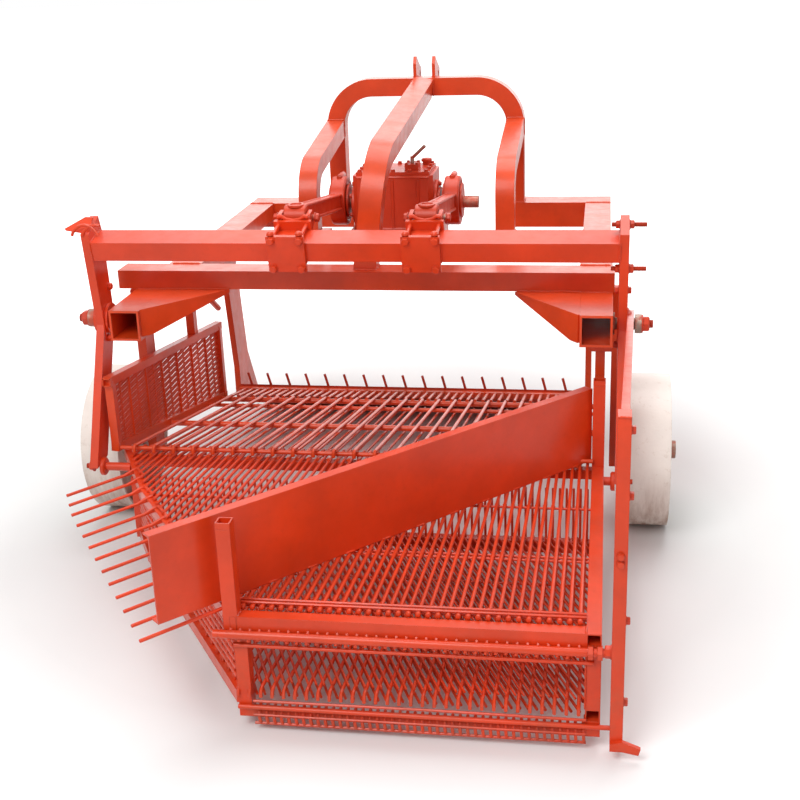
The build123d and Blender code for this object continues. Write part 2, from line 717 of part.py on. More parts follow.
# lower sieve, hung under the upper one by posts
low_z = (62.0, 92.0)
low_front_y = -300.0
post_x = (-150.0, -122.0)
with BuildPart() as lower_frame:
    tube_y(right_rail_x[0], right_rail_x[1], low_z[0], low_z[1], deck_rear_y, low_front_y + 25, 3)
    beam((side_x(-290), -290, 77), (-545, -430, 77), 20, rail)
    beam((-547.8, -425.8, 77), (-142, deck_rear_y, 77), 20, rail)
    box(-300, 0, deck_rear_y - 50, deck_rear_y, 0, 400, mode=Mode.SUBTRACT)
    box(side_x(-288), right_rail_x[1], low_front_y, low_front_y + 25, low_z[0], low_z[1])
    box(post_x[0], post_x[1], deck_rear_y, deck_rear_y + 28, 30, rail_bottom)
    box(right_rail_x[0], right_rail_x[1], deck_rear_y, deck_rear_y + 28, low_z[1], rail_bottom)
    box(right_rail_x[0], right_rail_x[1], deck_rear_y, deck_rear_y + 28, 30, low_z[0])
    box(post_x[0], right_rail_x[1], deck_rear_y, deck_rear_y + 20, 30, 46)
    box(right_rail_x[0], right_rail_x[1], low_front_y, low_front_y + 25, low_z[1], rail_bottom)
    box(-632, -608, low_front_y, low_front_y + 24, low_z[0], rail_bottom)
keep(lower_frame, "lower_frame")

with BuildPart() as lower_grate:
    fan_rods(-282.0, deck_rear_y + 14, low_z[1] + bar_r + seat, 22.0, 54)
    across = []
    for y in (-520.0, -760.0):
        across.append(((side_edge(y), y, low_z[1] - cross_r), (right_rail_x[0], y, low_z[1] - cross_r)))
    rods(across, cross_r)
    add(lower_frame.part, mode=Mode.SUBTRACT)
keep(lower_grate, "lower_grate")

with BuildPart() as lower_bars_left:
    ends = []
    for i in range(6):
        z = 112.0 + i * 20.0
        ends.append(((side_x(-302.2), -302.2, z), (-545, -430, z)))
        ends.append(((-545, -430, z), (-153.6, side_y_at(-153.6), z)))
    rods(ends, bar_r)
keep(lower_bars_left, "lower_bars_left")
with BuildPart() as lower_bars_right:
    ends = []
    for i in range(6):
        z = 112.0 + i * 20.0
        ends.append(((572, low_front_y - seat, z), (572, deck_rear_y + 28 + seat, z)))
    rods(ends, bar_r)
keep(lower_bars_right, "lower_bars_right")

with BuildPart() as rear_shafts:
    rod((-176, deck_rear_y - 9 - seat, 227), (bar_x[0], deck_rear_y - 9 - seat, 227), 9)
    rod((post_x[0], deck_rear_y - 4 - seat, 200), (right_rail_x[1] - 14, deck_rear_y - 4 - seat, 200), 4)
    rod((post_x[0], deck_rear_y - 5 - seat, 56), (bar_x[0], deck_rear_y - 5 - seat, 56), 5)
keep(rear_shafts, "rear_shafts")
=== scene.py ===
import json
import math
import random

import bpy
from mathutils import Matrix, Vector


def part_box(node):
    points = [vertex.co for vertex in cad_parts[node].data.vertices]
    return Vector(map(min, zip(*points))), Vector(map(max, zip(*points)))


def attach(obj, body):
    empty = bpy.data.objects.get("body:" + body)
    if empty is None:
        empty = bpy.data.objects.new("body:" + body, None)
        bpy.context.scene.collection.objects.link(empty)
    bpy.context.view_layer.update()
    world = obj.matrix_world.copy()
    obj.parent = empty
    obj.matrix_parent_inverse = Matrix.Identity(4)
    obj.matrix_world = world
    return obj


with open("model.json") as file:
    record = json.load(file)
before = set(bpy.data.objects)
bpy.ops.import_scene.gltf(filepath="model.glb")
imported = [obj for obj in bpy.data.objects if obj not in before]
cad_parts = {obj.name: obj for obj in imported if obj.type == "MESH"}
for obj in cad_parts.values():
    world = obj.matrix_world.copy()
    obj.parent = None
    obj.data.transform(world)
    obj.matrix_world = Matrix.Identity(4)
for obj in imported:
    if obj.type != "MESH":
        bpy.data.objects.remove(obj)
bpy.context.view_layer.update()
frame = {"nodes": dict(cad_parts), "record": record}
nodes = frame["nodes"]
random.seed(7)

# Drawing datum: midway between the two lower hitch brackets, at the rear face of the rear beam, on the ground
hitch_low, hitch_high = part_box("lower_hitch")
beam_low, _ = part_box("main_frame")
DATUM = Vector(((hitch_low.x + hitch_high.x) / 2, beam_low.y, 0.0))


def at(x, y, z):
    """A point of the drawing, in millimetres from the datum, as metres in the row frame."""
    return DATUM + Vector((x, y, z)) / 1000


# Camera, at the photograph's place and angle

CAMERA_AT = at(574.0, -3217.9, 1543.5)
CAMERA_YAW = math.radians(9.459)
CAMERA_PITCH = math.radians(20.045)
CAMERA_ROLL = math.radians(2.077)
CAMERA_LENS = 57.6
CAMERA_SENSOR = 36


def make_camera():
    camera = bpy.data.objects.new("photo_camera", bpy.data.cameras.new("photo_camera"))
    bpy.context.scene.collection.objects.link(camera)
    level = Vector((math.cos(CAMERA_YAW), math.sin(CAMERA_YAW), 0))
    ahead = Vector((-math.sin(CAMERA_YAW), math.cos(CAMERA_YAW), 0)) * math.cos(CAMERA_PITCH)
    ahead.z = -math.sin(CAMERA_PITCH)
    up = level.cross(ahead)
    right = level * math.cos(CAMERA_ROLL) - up * math.sin(CAMERA_ROLL)
    up = right.cross(ahead)
    turn = Matrix((right, up, -ahead)).transposed()
    camera.matrix_world = Matrix.Translation(CAMERA_AT) @ turn.to_4x4()
    camera.data.sensor_width = CAMERA_SENSOR
    camera.data.lens = CAMERA_LENS
    camera.data.clip_end = 100
    bpy.context.scene.camera = camera


# Materials

RED = (0.74, 0.066, 0.010, 1)
SOIL = (0.20, 0.12, 0.07, 1)
RUST = (0.17, 0.06, 0.025, 1)
OVERSPRAY = (0.52, 0.075, 0.030, 1)
CREAM = (0.90, 0.85, 0.78, 1)
SPLASH = (0.55, 0.43, 0.32, 1)
WET_SOIL = (0.24, 0.085, 0.030, 1)
WHITE = (1, 1, 1, 1)
# heights in metres where soil on the paint and stain on the wheels begin
SOIL_TOP = 0.35
STAIN_TOP = 0.24


class Shader:
    """A material's node tree, with short calls to add nodes and join them."""

    def __init__(self, name):
        self.material = bpy.data.materials.new(name)
        self.material.use_nodes = True
        self.tree = self.material.node_tree
        self.bsdf = self.tree.nodes["Principled BSDF"]
        self.place = self.node("ShaderNodeTexCoord").outputs["Object"]

    def node(self, kind, **settings):
        made = self.tree.nodes.new(kind)
        for key, value in settings.items():
            setattr(made, key, value)
        return made

    def join(self, source, target):
        self.tree.links.new(source, target)

    def noise(self, scale, detail, rough, stretch=(1, 1, 1)):
        mapping = self.node("ShaderNodeMapping")
        mapping.inputs["Scale"].default_value = stretch
        self.join(self.place, mapping.inputs["Vector"])
        noise = self.node("ShaderNodeTexNoise")
        noise.inputs["Scale"].default_value = scale
        noise.inputs["Detail"].default_value = detail
        noise.inputs["Roughness"].default_value = rough
        self.join(mapping.outputs["Vector"], noise.inputs["Vector"])
        return noise.outputs["Fac"]

    def range(self, source, low, high, to_low=0.0, to_high=1.0):
        made = self.node("ShaderNodeMapRange")
        ends = {"From Min": low, "From Max": high, "To Min": to_low, "To Max": to_high}
        for key, value in ends.items():
            made.inputs[key].default_value = value
        self.join(source, made.inputs["Value"])
        return made.outputs["Result"]

    def math(self, operation, a, b):
        made = self.node("ShaderNodeMath", operation=operation)
        for socket, value in zip(made.inputs, (a, b)):
            if isinstance(value, (int, float)):
                socket.default_value = value
            else:
                self.join(value, socket)
        return made.outputs["Value"]

    def mix(self, factor, a, b):
        made = self.node("ShaderNodeMix", data_type="RGBA")
        self.join(factor, made.inputs["Factor"])
        for key, value in (("A", a), ("B", b)):
            socket = [s for s in made.inputs if s.name == key and s.type == "RGBA"][0]
            if isinstance(value, tuple):
                socket.default_value = value
            else:
                self.join(value, socket)
        return [s for s in made.outputs if s.type == "RGBA"][0]

    def height(self):
        split = self.node("ShaderNodeSeparateXYZ")
        self.join(self.place, split.inputs["Vector"])
        return split.outputs["Z"]

    def edges(self, radius):
        """How far the surface turns within a short reach, and the normal that rounds it over.

        The turn is 0 on a flat and near 1 at a sharp edge.
        """
        bevel = self.node("ShaderNodeBevel", samples=3)
        bevel.inputs["Radius"].default_value = radius
        flat = self.node("ShaderNodeNewGeometry").outputs["Normal"]
        dot = self.node("ShaderNodeVectorMath", operation="DOT_PRODUCT")
        self.join(bevel.outputs["Normal"], dot.inputs[0])
        self.join(flat, dot.inputs[1])
        return self.range(dot.outputs["Value"], 0.995, 0.80), bevel.outputs["Normal"]

    def bump(self, height, distance, normal):
        bump = self.node("ShaderNodeBump")
        bump.inputs["Distance"].default_value = distance
        self.join(height, bump.inputs["Height"])
        self.join(normal, bump.inputs["Normal"])
        return bump.outputs["Normal"]


def scaled(colour, factor):
    return tuple(c * factor for c in colour[:3]) + (1,)


def paint(name, colour, roughness=0.36, wear=0.25, soil=0.5, coat=0.55):
    """Sprayed gloss paint over rolled steel: uneven film, chipped edges and a little dried soil low down."""
    s = Shader(name)
    film = s.noise(5, 4, 0.6)
    fine = s.noise(60, 3, 0.6)
    mottled = s.mix(s.range(film, 0.35, 0.68), scaled(colour, 0.84), scaled(colour, 1.10))
    mottled = s.mix(s.range(fine, 0.55, 0.80, 0, 0.30), mottled, scaled(colour, 0.74))
    edge, rounded = s.edges(0.0025)
    chips = s.math("MULTIPLY", edge, s.range(s.noise(90, 4, 0.7), 0.56, 0.64, 0, wear))
    worn = s.mix(chips, mottled, RUST)
    near_ground = s.range(s.height(), SOIL_TOP, 0.0)
    dirt = s.math("MULTIPLY", near_ground, s.range(s.noise(14, 5, 0.7), 0.42, 0.66, 0, soil))
    s.join(s.mix(dirt, worn, SOIL), s.bsdf.inputs["Base Color"])
    gloss = s.range(s.noise(22, 4, 0.65), 0.3, 0.7, roughness - 0.07, roughness + 0.12)
    s.join(s.math("ADD", gloss, s.math("MULTIPLY", dirt, 0.4)), s.bsdf.inputs["Roughness"])
    s.bsdf.inputs["Coat Weight"].default_value = coat
    s.bsdf.inputs["Coat Roughness"].default_value = 0.22
    s.bsdf.inputs["Coat IOR"].default_value = 1.35
    s.bsdf.inputs["Specular IOR Level"].default_value = 0.3
    peel = s.math("ADD", s.math("MULTIPLY", s.noise(420, 2, 0.5), 0.12), s.noise(9, 2, 0.5))
    s.join(s.bump(peel, 0.0007, rounded), s.bsdf.inputs["Normal"])
    return s.material


def steel(name, colour, roughness=0.38, rust=0.4):
    """Turned or drawn steel, dulled and oversprayed with the frame's paint, with rust in patches."""
    s = Shader(name)
    patches = s.range(s.noise(18, 5, 0.7), 0.52, 0.68, 0, rust)
    grain = s.noise(240, 2, 0.5, (1, 8, 8))
    bare = s.mix(s.range(grain, 0.3, 0.7), scaled(colour, 0.8), scaled(colour, 1.15))
    sprayed = s.range(s.noise(26, 4, 0.65), 0.60, 0.40)
    base = s.mix(sprayed, bare, OVERSPRAY)
    s.join(s.mix(patches, base, RUST), s.bsdf.inputs["Base Color"])
    s.join(s.math("ADD", s.math("MULTIPLY", patches, 0.5), roughness), s.bsdf.inputs["Roughness"])
    s.join(s.range(sprayed, 0.0, 1.0, 0.85, 0.05), s.bsdf.inputs["Metallic"])
    _, rounded = s.edges(0.0012)
    s.join(s.bump(grain, 0.0004, rounded), s.bsdf.inputs["Normal"])
    return s.material


def wheel_paint(name):
    """Cream paint on rolled plate, stained by wet soil towards the ground."""
    s = Shader(name)
    base = s.mix(s.range(s.noise(6, 4, 0.6), 0.35, 0.7), scaled(CREAM, 0.92), scaled(CREAM, 1.05))
    base = s.mix(s.range(s.noise(45, 4, 0.7), 0.58, 0.72, 0, 0.35), base, SPLASH)
    low = s.range(s.height(), STAIN_TOP, 0.0)
    streaks = s.range(s.noise(9, 5, 0.7, (4, 1, 0.6)), 0.30, 0.70)
    stain = s.math("MULTIPLY", low, s.math("ADD", s.math("MULTIPLY", streaks, 0.95), 0.25))
    stained = s.mix(stain, base, WET_SOIL)
    edge, rounded = s.edges(0.002)
    chips = s.math("MULTIPLY", edge, s.range(s.noise(70, 4, 0.7), 0.50, 0.60, 0, 0.8))
    s.join(s.mix(chips, stained, RUST), s.bsdf.inputs["Base Color"])
    s.join(s.math("ADD", s.math("MULTIPLY", stain, 0.35), 0.42), s.bsdf.inputs["Roughness"])
    s.bsdf.inputs["Coat Weight"].default_value = 0.15
    dents = s.math("ADD", s.noise(6, 2, 0.5), s.math("MULTIPLY", s.noise(150, 3, 0.6), 0.12))
    s.join(s.bump(dents, 0.003, rounded), s.bsdf.inputs["Normal"])
    return s.material


MATERIALS = {
    "frame_paint": paint("frame_red", RED),
    "sieve_paint": paint("sieve_red", (0.74, 0.052, 0.008, 1), soil=0.30),
    "gearbox_paint": paint("cast_red", (0.66, 0.050, 0.012, 1), roughness=0.40, coat=0.35),
    "drive_paint": paint("drive_red", (0.62, 0.046, 0.010, 1), roughness=0.42, coat=0.3),
    "blade_steel": paint("blade_red", (0.52, 0.036, 0.008, 1), roughness=0.45, wear=0.7, soil=0.7, coat=0.2),
    "bare_steel": steel("dull_steel", (0.34, 0.27, 0.22, 1)),
    "wheel_paint": wheel_paint("cream_plate"),
}
for part in frame["record"]["subparts"]:
    mesh = nodes[part["node"]].data
    mesh.materials.clear()
    mesh.materials.append(MATERIALS[part["material_slot"]])


# Small forms, gathered in meshes


class Forms:
    """Faces of many small pieces that ride on one body and share one finish."""

    def __init__(self, name, body, slot):
        self.name = name
        self.body = body
        self.slot = slot
        self.verts = []
        self.faces = []

    def ring(self, centre, across, over, radius, sides, start=0.0):
        first = len(self.verts)
        for i in range(sides):
            a = start + 2 * math.pi * i / sides
            self.verts.append(centre + (across * math.cos(a) + over * math.sin(a)) * radius)
        return first

    def skin(self, rings, sides):
        """Faces between rings of points, closed at both ends."""
        for a, b in zip(rings, rings[1:]):
            for i in range(sides):
                j = (i + 1) % sides
                self.faces.append((a + i, a + j, b + j, b + i))
        self.faces.append(tuple(reversed(range(rings[0], rings[0] + sides))))
        self.faces.append(tuple(range(rings[-1], rings[-1] + sides)))

    def turned(self, origin, axis, profile, sides, start=0.0):
        """A turned form: profile is (distance along the axis, radius) in millimetres."""
        axis = Vector(axis).normalized()
        across = axis.orthogonal().normalized()
        over = axis.cross(across)
        rings = [
            self.ring(origin + axis * d / 1000, across, over, r / 1000, sides, start)
            for d, r in profile
        ]
        self.skin(rings, sides)

    def tube(self, points, radius, sides, swell=None):
        """A round bar along points; swell gives each point its own share of the radius."""
        points = [Vector(p) for p in points]
        rings = []
        over = None
        for i, p in enumerate(points):
            ahead = (points[min(i + 1, len(points) - 1)] - points[max(i - 1, 0)]).normalized()
            if over is None:
                over = ahead.orthogonal().normalized()
            over = (over - ahead * over.dot(ahead)).normalized()
            across = over.cross(ahead)
            share = swell[i] if swell else 1.0
            rings.append(self.ring(p, over, across, radius * share / 1000, sides))
        self.skin(rings, sides)

    def bolt(self, origin, axis, size, head, washer=True):
        """A hexagon head with its chamfer, turned at random, on a washer."""
        turn = random.random() * math.pi
        if washer:
            self.turned(origin, axis, [(0, size * 1.05), (size * 0.16, size * 1.05)], 18)
        base = size * 0.16 if washer else 0.0
        corner = size * 0.92
        profile = [(base, corner), (base + head * 0.8, corner), (base + head, corner * 0.86)]
        self.turned(origin, axis, profile, 6, turn)

    def weld(self, start, end, radius):
        """A bead of overlapping ripples along a joint."""
        start = Vector(start)
        end = Vector(end)
        length = (end - start).length * 1000
        ripple = 3.0
        sway = 0.0005
        count = max(int(length / ripple), 3)
        points = []
        swell = []
        for i in range(count + 1):
            wobble = Vector([random.uniform(-sway, sway) for _ in range(3)])
            points.append(start.lerp(end, i / count) + wobble)
            swell.append((0.82 if i % 2 else 1.08) * random.uniform(0.9, 1.1))
        swell[0] = 0.5
        swell[-1] = 0.5
        self.tube(points, radius, 6, swell)

    def prism(self, points, shift):
        """A flat plate: an outline of points, thickened by a shift."""
        first = len(self.verts)
        count = len(points)
        self.verts += [Vector(p) for p in points] + [Vector(p) + shift for p in points]
        for i in range(count):
            j = (i + 1) % count
            self.faces.append((first + i, first + j, first + count + j, first + count + i))
        self.faces.append(tuple(first + i for i in reversed(range(count))))
        self.faces.append(tuple(first + count + i for i in range(count)))

    def block(self, low, high):
        first = len(self.verts)
        for z in (low.z, high.z):
            for x, y in ((low.x, low.y), (high.x, low.y), (high.x, high.y), (low.x, high.y)):
                self.verts.append(Vector((x, y, z)))
        sides = ((0, 3, 2, 1), (4, 5, 6, 7), (0, 1, 5, 4), (1, 2, 6, 5), (2, 3, 7, 6), (3, 0, 4, 7))
        for face in sides:
            self.faces.append(tuple(first + i for i in face))

    def finish(self, sharp):
        """The gathered faces as one mesh, creased where they meet at more than sharp degrees."""
        mesh = bpy.data.meshes.new(self.name)
        mesh.from_pydata([tuple(v) for v in self.verts], [], self.faces)
        mesh.validate()
        mesh.polygons.foreach_set("use_smooth", [True] * len(mesh.polygons))
        mesh.set_sharp_from_angle(angle=math.radians(sharp))
        mesh.materials.append(MATERIALS[self.slot])
        piece = bpy.data.objects.new(self.name, mesh)
        bpy.context.scene.collection.objects.link(piece)
        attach(piece, self.body)


# Small pieces, placed in the drawing's millimetres

REAR = (0, -1, 0)
FRONT = (0, 1, 0)
LEFT = (-1, 0, 0)
RIGHT = (1, 0, 0)
UP = (0, 0, 1)

# the frame's square tubes: the beams' upper face and the sides, in x, of those that run forward
BEAM_TOP = 710.0
SIDE_TUBES = ((-595, -515), (515, 595))
STRUTS = ((-318, -263), (263, 318))
TAILS = ((-675, -595), (521, 601))

# the gearbox: its two ends, its rear face and the faces that bolts sit on
GEARBOX_X = (-153, 83)
GEARBOX_REAR = 436
GEARBOX_FOOT = 722
LID_TOP = 892
SHIFT_TOP = 910

# axes across the machine, as (y, z)
SHAFT = (520.0, 790.0)
CLAMP_PIN = (-52, 866)
PIVOT = (-105, 608)
LOWER_PIVOT = (-265, 248)
REAR_SHAFT = (-1041, 227)
HUB = (60, 205)

# the connecting rods' middles in x, and how far the eccentrics raise them at rest
ROD_X = (-205.0, 133.0)
THROW = 5

# the rocker beam's middle, (y, z), its tilt, and the outer faces of the clamps round it, from their middle
ROCKER = (-136.0, 812.0)
TILT = math.radians(12.0)
CLAMP_SIDE = 48
CLAMP_FACE = 52.0

# each lever's outer face, inner face, way out and way in
LEFT_LEVER = (-741.0, -719.0, LEFT, RIGHT)
RIGHT_LEVER = (636.0, 614.0, RIGHT, LEFT)


def tilted(u, w):
    """A point of the rocker beam's tilted frame, as the drawing's Y and Z: u forward, w up."""
    y = ROCKER[0] + u * math.cos(TILT) - w * math.sin(TILT)
    return y, ROCKER[1] + u * math.sin(TILT) + w * math.cos(TILT)


TILTED_REAR = (0, -math.cos(TILT), -math.sin(TILT))
TILTED_FRONT = (0, math.cos(TILT), math.sin(TILT))


def circle(centre, radius, count, start=0.0):
    """Points (y, z) evenly round a centre; start is the first one's angle in degrees, from the front."""
    turns = [math.radians(start + 360 * i / count) for i in range(count)]
    return [(centre[0] + radius * math.cos(a), centre[1] + radius * math.sin(a)) for a in turns]


def arc(centre, across, over, radius, start, end, count):
    """Points of an arc in the plane of two unit directions, in the drawing's millimetres."""
    points = []
    for i in range(count + 1):
        a = math.radians(start + (end - start) * i / count)
        p = Vector(centre) + (Vector(across) * math.cos(a) + Vector(over) * math.sin(a)) * radius
        points.append(at(*p))
    return points


def between(p, q, t):
    """The point a share t of the way from p to q."""
    return tuple(a + t * (b - a) for a, b in zip(p, q))


def threaded(forms, origin, axis, start, radius, length, pitch=1.6):
    """A bolt's bare end, ridged by its thread, from start millimetres along the axis."""
    profile = [(start, radius)]
    for i in range(int(length / pitch)):
        turn = start + pitch * i
        profile += [(turn + pitch * 0.4, radius * 0.86), (turn + pitch * 0.9, radius)]
    profile.append((start + length, radius * 0.7))
    forms.turned(origin, axis, profile, 14)


def clamp_details():
    forms = Forms("clamp_fasteners", "sieve", "sieve_paint")
    # half the spread of a clamp's four bolts, along the beam and up the plate
    bolt_x, bolt_w = 36, 38
    rim = ((-40, 2), (-30, 4), (-18, -3), (0, -6), (18, -3), (30, 4), (40, 2))
    rim_swell = [1.6, 1.3, 1, 1, 1, 1.3, 1.6]
    for x0 in ROD_X:
        for dx in (-bolt_x, bolt_x):
            for w in (-bolt_w, bolt_w):
                forms.bolt(at(x0 + dx, *tilted(-CLAMP_FACE, w)), TILTED_REAR, 11, 9)
                forms.bolt(at(x0 + dx, *tilted(CLAMP_FACE, w)), TILTED_FRONT, 8, 5)
        # the beads where the rear plate meets the beam's edges
        for w in (-25, 25):
            start, end = tilted(-CLAMP_FACE + 8, w), tilted(-40, w)
            for side in (-CLAMP_SIDE - 0.5, CLAMP_SIDE + 0.5):
                forms.weld(at(x0 + side, *start), at(x0 + side, *end), 2.5)
        # the beads where the lugs stand on the front plate
        start, end = tilted(CLAMP_FACE, -10), tilted(CLAMP_FACE, 44)
        for lug in (-42, -32, 32, 42):
            forms.weld(at(x0 + lug, *start), at(x0 + lug, *end), 2.2)
        # the scooped upper edge of the front plate, between two rounded ends
        y, z = tilted(54, 52)
        forms.tube([at(x0 + dx, y, z + dz) for dx, dz in rim], 4, 10, rim_swell)
        # a knob at each upper corner of the rear plate
        for dx in (-bolt_x, bolt_x):
            forms.turned(at(x0 + dx, *tilted(-46, 50)), UP, [(0, 9), (5, 9), (9, 6.5), (11, 2)], 12)
    forms.finish(30)

    forms = Forms("clamp_pin_heads", "sieve", "drive_paint")
    washer = 2.5
    for x0 in ROD_X:
        for side, axis in ((-1, LEFT), (1, RIGHT)):
            forms.turned(at(x0 + side * CLAMP_SIDE, *CLAMP_PIN), axis, [(0, 13), (washer, 13)], 18)
            place = at(x0 + side * (CLAMP_SIDE + washer), *CLAMP_PIN)
            forms.bolt(place, axis, 12, 9, washer=False)
    forms.finish(30)


def gearbox_details():
    forms = Forms("gearbox_castings", "frame", "gearbox_paint")
    # a flange ring round each end of the cross shaft, with its six bolts
    flange = 9
    for x, axis in zip(GEARBOX_X, (LEFT, RIGHT)):
        forms.turned(at(x, *SHAFT), axis, [(0, 66), (7, 66), (flange, 62), (flange, 30)], 40)
        for place in circle(SHAFT, 55, 6, 30):
            forms.bolt(at(x, *place) + Vector(axis) * flange / 1000, axis, 7.5, 6)
    # the lid's bolts, along its long sides and then at its ends
    for x in (-133, -84, -35, 14, 63):
        for y in (454, 594):
            forms.bolt(at(x, y, LID_TOP), UP, 7, 6)
    for y in (500, 548):
        for x in (-135, 65):
            forms.bolt(at(x, y, LID_TOP), UP, 7, 6)
    # casting ribs of the rear face: under the lid's rim, at the foot, and three upright
    for z, radius in ((878, 4), (727, 5)):
        forms.tube([at(x, GEARBOX_REAR + 1, z) for x in (-141, 71)], radius, 8)
    for x in (-110, -35, 40):
        forms.tube([at(x, GEARBOX_REAR, z) for z in (730, 870)], 5, 8)
    # the feet's bolts
    for x in (-150, 80):
        for y in (466, 580):
            forms.bolt(at(x, y, GEARBOX_FOOT), UP, 9, 8)
    # the filler with its cap, and the shift block's bolts
    forms.turned(at(48, 580, LID_TOP), UP, [(0, 12), (8, 12), (9, 16), (16, 16), (18, 12)], 20)
    for x in (3, 33):
        for y in (476, 514):
            forms.bolt(at(x, y, SHIFT_TOP), UP, 5, 4)
    forms.finish(32)


def rod_details():
    shaft_y, shaft_z = SHAFT
    ring_z = shaft_z + THROW
    eye_y, eye_z = CLAMP_PIN[0], CLAMP_PIN[1] + THROW
    rim = [(0, 71), (3, 70), (4, 66), (4, 60), (1, 57), (1, 45)]
    for name, x0 in zip(("rod_left", "rod_right"), ROD_X):
        forms = Forms(name + "_forging", name, "drive_paint")
        # the ring's raised rims, and the split cap's bolt in its sleeve
        for side, axis in ((-19, LEFT), (19, RIGHT)):
            forms.turned(at(x0 + side, shaft_y, ring_z), axis, rim, 48)
        bolt_y, bolt_z = shaft_y + 22, ring_z + 70
        forms.turned(at(x0, bolt_y, bolt_z), FRONT, [(-34, 8), (-30, 9.5), (22, 9.5), (26, 8)], 16)
        forms.bolt(at(x0, bolt_y - 34, bolt_z), REAR, 8, 7)
        forms.bolt(at(x0, bolt_y + 26, bolt_z), FRONT, 8, 7)
        # the shank: flanges above and below leave a channel along each side
        for w in (-20, 20):
            for side in (-12.5, 12.5):
                x = x0 + side
                forms.tube([at(x, -12, 868 + w), at(x, shaft_y - 66, 804 + w)], 4.5, 8)
        # the eye's raised rims and the bead at the shank's end
        for side, axis in ((-27, LEFT), (27, RIGHT)):
            forms.turned(at(x0 + side, eye_y, eye_z), axis, [(0, 27), (2, 26), (2, 21)], 28)
        forms.weld(at(x0 - 12, eye_y + 24, eye_z + 22), at(x0 + 12, eye_y + 24, eye_z + 22), 3)
        # an oil cup's round rim on top of the eye
        cup = [(0, 22), (5, 22), (6, 20), (6, 15), (3, 14)]
        forms.turned(at(x0, eye_y, eye_z + 24), UP, cup, 28)
        forms.finish(32)


def lever_details():
    forms = Forms("lever_fasteners", "sieve", "sieve_paint")
    corners = ((-40, 25), (40, 25), (40, -25), (-40, -25))
    for outer, inner, out, into in (LEFT_LEVER, RIGHT_LEVER):
        # the rocker beam's end is welded in the lever
        for start, end in zip(corners, corners[1:] + corners[:1]):
            forms.weld(at(inner, *tilted(*start)), at(inner, *tilted(*end)), 3.2)
        # pivot housing: a boss with a thick washer, and a bead behind it
        forms.turned(at(outer, *PIVOT), out, [(0, 37), (6, 36), (12, 30), (12, 20)], 32)
        forms.weld(at(inner, -145, 570), at(inner, -150, 640), 2.5)
        # a bolt below the pivot and one above it, with a head on each face
        for y, z in ((-128, 560), (-88, 690)):
            forms.bolt(at(outer, y, z), out, 10, 8)
            forms.bolt(at(inner, y, z), into, 10, 8)
    forms.finish(32)

    # the two long bolts at the right lever's top
    forms = Forms("lever_bolts", "sieve", "drive_paint")
    outer, inner, out, into = RIGHT_LEVER
    for y, z in ((-118, 862), (-148, 760)):
        for x, axis, head, bare in ((outer, out, 10, 32), (inner, into, 9, 12)):
            forms.bolt(at(x, y, z), axis, 12, head)
            threaded(forms, at(x, y, z), axis, head, 6, bare)
    forms.finish(32)

    # the left lever's pointed ear with its two curved ribs
    forms = Forms("lever_ear", "sieve", "sieve_paint")
    point = ((-741, -172, 852), (-783, -170, 858), (-786, -168, 863), (-741, -140, 886))
    foot = ((-719, -140, 886), (-719, -172, 852))
    forms.prism([at(*p) for p in point + foot], Vector((0, 0.008, 0)))
    for x, start, count in ((-728, -75, 10), (-700, -20, 8)):
        forms.tube(arc((x, -184, 838), (0, 0.2, 1), LEFT, 36, start, 75, count), 4, 8)
    forms.finish(32)

    forms = Forms("pivot_nuts", "frame", "drive_paint")
    for x, out in ((-772, LEFT), (672, RIGHT)):
        forms.bolt(at(x, *PIVOT), out, 22, 16)
        threaded(forms, at(x, *PIVOT), out, 19.5, 11, 9, 2.0)
    forms.finish(32)


# The sieve's decks: upper faces, the right rail's inner face, the bent left side's three corners, (x, y),
# and the bars' radius
DECK_TOP = 262.1
LOW_TOP = 92.1
RIGHT_RAIL = 557.0
SIDE = ((-690.0, -155.0), (-545.0, -430.0), (-150.0, -1020.0))
BAR = 4

# The bars' fan: the lean at the left, where it starts at the right, and over what width it grows
FAN_LEAN = math.radians(8.5)
FAN_RIGHT = 560.0
FAN_WIDTH = 1250.0


def side_x(y):
    (x0, y0), (x1, y1), (x2, y2) = SIDE
    if y > y1:
        return x0 + (y0 - y) * (x1 - x0) / (y0 - y1)
    return x1 + (y1 - y) * (x2 - x1) / (y1 - y2)


def side_y_at(x):
    (x1, y1), (x2, y2) = SIDE[1:]
    return y1 + (x - x1) * (y2 - y1) / (x2 - x1)


def fan_slope(x):
    return math.tan(FAN_LEAN * (FAN_RIGHT - x) / FAN_WIDTH)


def rod_ends(y_front, y_rear, pitch, count):
    """Each bar of a fanned deck, as the frame's own bars lie: (x, y) rear, (x, y) front, slope."""
    ends = []
    for i in range(count):
        x0 = RIGHT_RAIL - 11 - i * pitch
        slope = fan_slope(x0)
        y1 = y_rear
        while y1 < y_front and x0 - (y_front - y1) * slope < side_x(y1):
            y1 += 2
        if y_front - y1 > 50:
            ends.append(((x0 - (y_front - y1) * slope, y1), (x0, y_front), slope))
    return ends


def hook(forms, x, y, z, ahead, radius, bend, drop):
    """A bar's end that turns down: ahead is +1 at a front end and -1 at a rear one."""
    points = [at(x, y - ahead * 2, z)]
    for i in range(5):
        a = math.radians(90 * i / 4)
        points.append(at(x, y + ahead * bend * math.sin(a), z - bend * (1 - math.cos(a))))
    points.append(at(x, y + ahead * bend, z - bend - drop))
    forms.tube(points, radius, 6)


